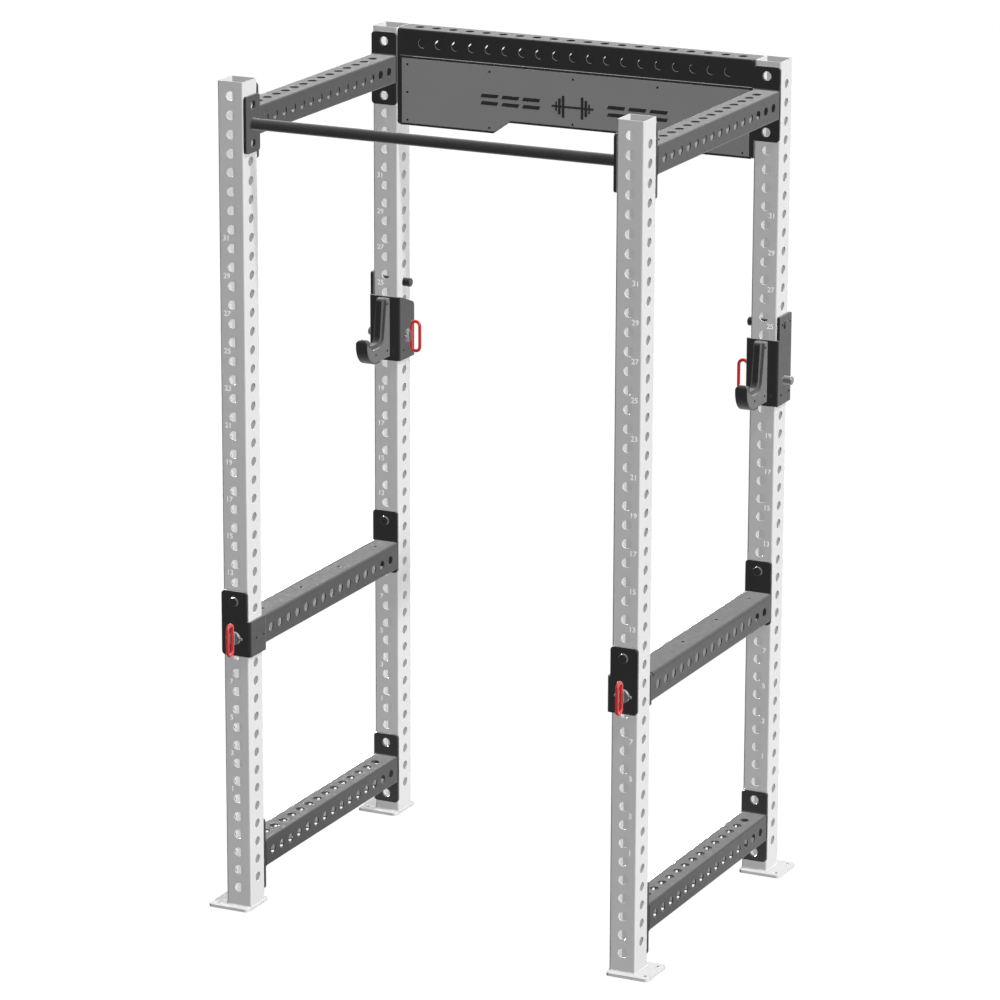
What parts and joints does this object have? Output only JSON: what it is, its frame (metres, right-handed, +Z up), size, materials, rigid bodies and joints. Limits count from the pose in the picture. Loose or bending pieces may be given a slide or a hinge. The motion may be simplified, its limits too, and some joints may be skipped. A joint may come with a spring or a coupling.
{
  "type": "power rack",
  "caption": "Four-upright square-tube power rack with pull-up bar, hole columns, bar hooks and box safeties held by pull-pins.",
  "frame": {"origin": "on the floor, in the middle of the four uprights", "axes": "+X to the right seen from the front (the pull-up bar side), +Y to the rear, +Z up"},
  "size_m": [1.29, 1.025, 2.248],
  "materials": {
    "white_coat": "semi-gloss white powder coat",
    "dark_coat": "satin anthracite powder coat",
    "bar_coat": "satin black powder coat",
    "sign_backing": "matt black",
    "sign_sheet": "satin grey sheet",
    "pin_steel": "dull zinc-plated steel",
    "red_wire": "glossy red coating on round wire",
    "hook_steel": "satin grey powder coat",
    "dark_plastic": "hard-wearing dark plastic",
    "grey_plastic": "hard-wearing grey plastic",
    "screw_steel": "small screw heads"
  },
  "bodies": {
    "rack": {"upright_front_left": "white_coat", "foot_plate_front_left": "white_coat", "upright_rear_left": "white_coat", "foot_plate_rear_left": "white_coat", "lower_beam_left": "dark_coat", "lower_beam_end_plates_left": "dark_coat", "upper_beam_left": "dark_coat", "upper_beam_end_plates_left": "dark_coat", "safety_box_left": "dark_coat", "safety_rear_plate_left": "dark_coat", "safety_bracket_left": "dark_coat", "safety_pegs_left": "dark_coat", "cup_bracket_left": "dark_coat", "cup_peg_left": "dark_coat", "cup_cheeks_left": "hook_steel", "cup_back_liner_left": "dark_plastic", "cup_nose_left": "dark_plastic", "cup_seat_left": "grey_plastic", "safety_strip_left": "grey_plastic", "cup_screws_left": "screw_steel", "safety_screws_left": "screw_steel", "upright_front_right": "white_coat", "foot_plate_front_right": "white_coat", "upright_rear_right": "white_coat", "foot_plate_rear_right": "white_coat", "lower_beam_right": "dark_coat", "lower_beam_end_plates_right": "dark_coat", "upper_beam_right": "dark_coat", "upper_beam_end_plates_right": "dark_coat", "safety_box_right": "dark_coat", "safety_rear_plate_right": "dark_coat", "safety_bracket_right": "dark_coat", "safety_pegs_right": "dark_coat", "cup_bracket_right": "dark_coat", "cup_peg_right": "dark_coat", "cup_cheeks_right": "hook_steel", "cup_back_liner_right": "dark_plastic", "cup_nose_right": "dark_plastic", "cup_seat_right": "grey_plastic", "safety_strip_right": "grey_plastic", "cup_screws_right": "screw_steel", "safety_screws_right": "screw_steel", "rear_beam": "dark_coat", "rear_end_plates": "dark_coat", "pull_up_end_plates": "dark_coat", "pull_up_bar": "bar_coat", "sign_backing": "sign_backing", "sign_sheet": "sign_sheet", "sign_screws": "screw_steel"},
    "cup_lock_left": {"cup_pin_left": "pin_steel"},
    "cup_grip_left": {"cup_loop_left": "red_wire"},
    "safety_lock_left": {"safety_pin_left": "pin_steel"},
    "safety_grip_left": {"safety_loop_left": "red_wire"},
    "cup_lock_right": {"cup_pin_right": "pin_steel"},
    "cup_grip_right": {"cup_loop_right": "red_wire"},
    "safety_lock_right": {"safety_pin_right": "pin_steel"},
    "safety_grip_right": {"safety_loop_right": "red_wire"}
  },
  "joints": [
    {"name": "cup_pin_pull_left", "type": "slide", "parent": "rack", "child": "cup_lock_left", "axis": [1, 0, 0], "range_m": [0, 0.109]},
    {"name": "cup_loop_swing_left", "type": "hinge", "parent": "cup_lock_left", "child": "cup_grip_left", "pos_m": [-0.503, 0.4375, 1.385], "axis": [0, 0, 1], "range_deg": [-70, 70]},
    {"name": "safety_pin_pull_left", "type": "slide", "parent": "rack", "child": "safety_lock_left", "axis": [0, -1, 0], "range_m": [0, 0.109]},
    {"name": "safety_loop_swing_left", "type": "hinge", "parent": "safety_lock_left", "child": "safety_grip_left", "pos_m": [-0.5625, -0.497, 0.76], "axis": [0, 0, 1], "range_deg": [-70, 70]},
    {"name": "cup_pin_pull_right", "type": "slide", "parent": "rack", "child": "cup_lock_right", "axis": [-1, 0, 0], "range_m": [0, 0.109]},
    {"name": "cup_loop_swing_right", "type": "hinge", "parent": "cup_lock_right", "child": "cup_grip_right", "pos_m": [0.503, 0.4375, 1.385], "axis": [0, 0, 1], "range_deg": [-70, 70]},
    {"name": "safety_pin_pull_right", "type": "slide", "parent": "rack", "child": "safety_lock_right", "axis": [0, -1, 0], "range_m": [0, 0.109]},
    {"name": "safety_loop_swing_right", "type": "hinge", "parent": "safety_lock_right", "child": "safety_grip_right", "pos_m": [0.5625, -0.497, 0.76], "axis": [0, 0, 1], "range_deg": [-70, 70]}
  ]
}
